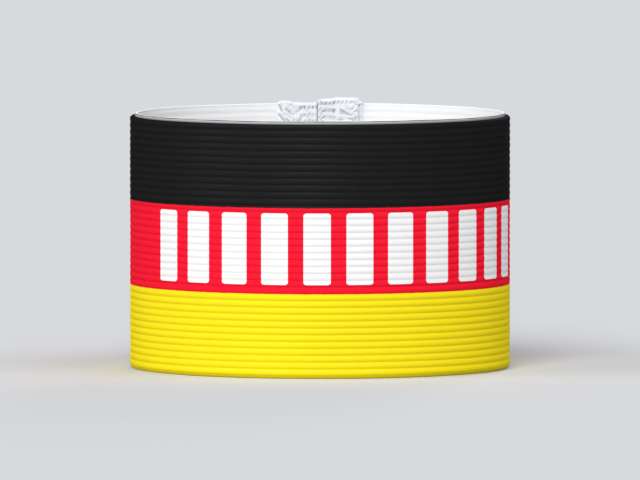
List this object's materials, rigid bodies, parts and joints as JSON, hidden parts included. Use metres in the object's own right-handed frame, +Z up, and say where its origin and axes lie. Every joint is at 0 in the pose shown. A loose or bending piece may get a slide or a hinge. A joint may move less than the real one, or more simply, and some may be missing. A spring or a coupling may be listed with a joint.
{
  "type": "captain armband",
  "caption": "Elastic captain's armband, standing as a ring: a ribbed band printed in broad stripes round a white inner band, with gathered tapes over the back seam inside.",
  "frame": {"origin": "centre of the ring, on the surface that its lower edge stands on", "axes": "+Z up along the axis of the arm, -Y towards the printed front, +Y towards the closing seam, +X to the right seen from the front"},
  "size_m": [0.098, 0.098, 0.0675],
  "materials": {
    "printed_elastic": "ribbed knitted elastic, dyed in three equal stripes: black above, red in the middle, yellow below, with a soft sheen on the crests",
    "white_elastic": "white knitted elastic with low ribs, matt",
    "seam_tape": "white gathered tape, slightly bluish, crinkled along its rows of stitches",
    "sewing_thread": "white polyester sewing thread with a slight gloss",
    "bar_print": "matt white printed film that lies on the ribs"
  },
  "bodies": {
    "root": {"ribbed_band": "printed_elastic", "inner_band": "white_elastic", "seam_tape_left": "seam_tape", "seam_tape_right": "seam_tape"}
  },
  "joints": []
}
